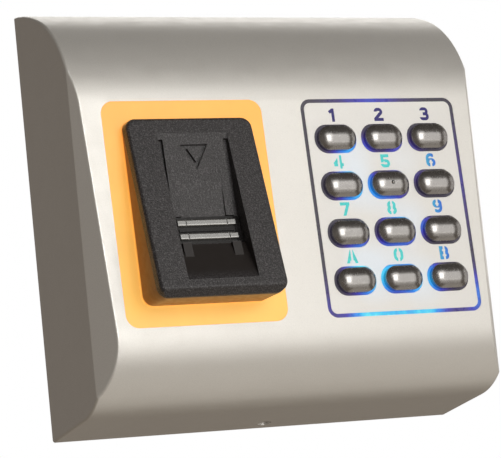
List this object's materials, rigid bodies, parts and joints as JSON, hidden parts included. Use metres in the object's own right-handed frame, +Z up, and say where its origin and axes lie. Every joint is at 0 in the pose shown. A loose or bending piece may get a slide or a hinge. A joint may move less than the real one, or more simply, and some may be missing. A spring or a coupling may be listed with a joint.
{
  "type": "fingerprint scanner terminal",
  "caption": "Wall-mounted fingerprint and keypad access reader: a tilted swipe sensor on a glowing bezel beside a backlit keypad, in a faceted metal cover.",
  "frame": {"origin": "middle of the flat back face that lies on the wall", "axes": "+X to the viewer's right, -Y out of the wall towards the user, +Z up"},
  "size_m": [0.107, 0.0448, 0.1027],
  "materials": {
    "silver_housing": "satin silver metallic paint on die-cast zinc",
    "silver_plate": "satin silver metallic paint",
    "legend_light": "translucent, lit from behind in blue",
    "blue_light_guide": "clear light guide, lit blue",
    "dome_steel": "bright stamped steel",
    "circuit_board": "green solder mask",
    "blue_lamp": "lamp, clear resin",
    "amber_lamp": "lamp, clear resin",
    "screw_steel": "zinc plated steel",
    "amber_plastic": "translucent amber moulding, lit from behind, satin surface",
    "black_grained_plastic": "black, fine moulded grain",
    "sensor_black": "smooth black resin",
    "sensor_chrome": "bright metal drive bars",
    "black_rubber": "soft black rubber",
    "flex_film": "polyimide film",
    "chip_black": "moulded package",
    "connector_plastic": "natural nylon",
    "relay_plastic": "blue relay case",
    "capacitor_can": "sleeved aluminium can",
    "terminal_green": "green terminal block",
    "wall_plate_steel": "galvanised sheet",
    "key_metal": "dark satin nickel plating",
    "key_pad_rubber": "translucent silicone, lit from behind"
  },
  "bodies": {
    "housing": {"front_cover": "silver_housing", "keypad_plate": "silver_plate", "key_legends": "legend_light", "keypad_light_guide": "blue_light_guide", "key_domes": "dome_steel", "keypad_board": "circuit_board", "blue_leds": "blue_lamp", "keypad_board_screws": "screw_steel", "sensor_bezel": "amber_plastic", "bezel_light_board": "circuit_board", "amber_leds": "amber_lamp", "light_board_screws": "screw_steel", "finger_guide_head": "black_grained_plastic", "sensor_body": "sensor_black", "sensor_bars": "sensor_chrome", "sensor_gasket": "black_rubber", "sensor_board": "circuit_board", "sensor_board_screws": "screw_steel", "sensor_flex": "flex_film", "keypad_flex": "flex_film", "main_board": "circuit_board", "main_chips": "chip_black", "board_connectors": "connector_plastic", "relay": "relay_plastic", "buzzer": "chip_black", "capacitors": "capacitor_can", "terminal_block": "terminal_green", "terminal_screws": "screw_steel", "main_board_screws": "screw_steel", "tamper_switch": "chip_black", "wall_plate": "wall_plate_steel", "wall_gasket": "black_rubber", "cable_grommet": "black_rubber", "security_screw": "screw_steel"},
    "key_1_body": {"key_1": "key_metal", "key_1_pad": "key_pad_rubber"},
    "key_2_body": {"key_2": "key_metal", "key_2_pad": "key_pad_rubber"},
    "key_3_body": {"key_3": "key_metal", "key_3_pad": "key_pad_rubber"},
    "key_4_body": {"key_4": "key_metal", "key_4_pad": "key_pad_rubber"},
    "key_5_body": {"key_5": "key_metal", "key_5_pad": "key_pad_rubber"},
    "key_6_body": {"key_6": "key_metal", "key_6_pad": "key_pad_rubber"},
    "key_7_body": {"key_7": "key_metal", "key_7_pad": "key_pad_rubber"},
    "key_8_body": {"key_8": "key_metal", "key_8_pad": "key_pad_rubber"},
    "key_9_body": {"key_9": "key_metal", "key_9_pad": "key_pad_rubber"},
    "key_a_body": {"key_a": "key_metal", "key_a_pad": "key_pad_rubber"},
    "key_0_body": {"key_0": "key_metal", "key_0_pad": "key_pad_rubber"},
    "key_b_body": {"key_b": "key_metal", "key_b_pad": "key_pad_rubber"},
    "tamper_plunger_body": {"tamper_plunger": "connector_plastic"}
  },
  "joints": [
    {"name": "key_1_press", "type": "slide", "parent": "housing", "child": "key_1_body", "axis": [0, 0.9978, -0.0663], "range_m": [0, 0.0006], "stiffness_N_per_m": 600, "springref_m": -0.0006},
    {"name": "key_2_press", "type": "slide", "parent": "housing", "child": "key_2_body", "axis": [0, 0.9978, -0.0663], "range_m": [0, 0.0006], "stiffness_N_per_m": 600, "springref_m": -0.0006},
    {"name": "key_3_press", "type": "slide", "parent": "housing", "child": "key_3_body", "axis": [0, 0.9978, -0.0663], "range_m": [0, 0.0006], "stiffness_N_per_m": 600, "springref_m": -0.0006},
    {"name": "key_4_press", "type": "slide", "parent": "housing", "child": "key_4_body", "axis": [0, 0.9978, -0.0663], "range_m": [0, 0.0006], "stiffness_N_per_m": 600, "springref_m": -0.0006},
    {"name": "key_5_press", "type": "slide", "parent": "housing", "child": "key_5_body", "axis": [0, 0.9978, -0.0663], "range_m": [0, 0.0006], "stiffness_N_per_m": 600, "springref_m": -0.0006},
    {"name": "key_6_press", "type": "slide", "parent": "housing", "child": "key_6_body", "axis": [0, 0.9978, -0.0663], "range_m": [0, 0.0006], "stiffness_N_per_m": 600, "springref_m": -0.0006},
    {"name": "key_7_press", "type": "slide", "parent": "housing", "child": "key_7_body", "axis": [0, 0.9978, -0.0663], "range_m": [0, 0.0006], "stiffness_N_per_m": 600, "springref_m": -0.0006},
    {"name": "key_8_press", "type": "slide", "parent": "housing", "child": "key_8_body", "axis": [0, 0.9978, -0.0663], "range_m": [0, 0.0006], "stiffness_N_per_m": 600, "springref_m": -0.0006},
    {"name": "key_9_press", "type": "slide", "parent": "housing", "child": "key_9_body", "axis": [0, 0.9978, -0.0663], "range_m": [0, 0.0006], "stiffness_N_per_m": 600, "springref_m": -0.0006},
    {"name": "key_a_press", "type": "slide", "parent": "housing", "child": "key_a_body", "axis": [0, 0.9978, -0.0663], "range_m": [0, 0.0006], "stiffness_N_per_m": 600, "springref_m": -0.0006},
    {"name": "key_0_press", "type": "slide", "parent": "housing", "child": "key_0_body", "axis": [0, 0.9978, -0.0663], "range_m": [0, 0.0006], "stiffness_N_per_m": 600, "springref_m": -0.0006},
    {"name": "key_b_press", "type": "slide", "parent": "housing", "child": "key_b_body", "axis": [0, 0.9978, -0.0663], "range_m": [0, 0.0006], "stiffness_N_per_m": 600, "springref_m": -0.0006},
    {"name": "tamper_press", "type": "slide", "parent": "housing", "child": "tamper_plunger_body", "axis": [0, -1, 0], "range_m": [0, 0.0006], "stiffness_N_per_m": 300, "springref_m": -0.0006}
  ]
}
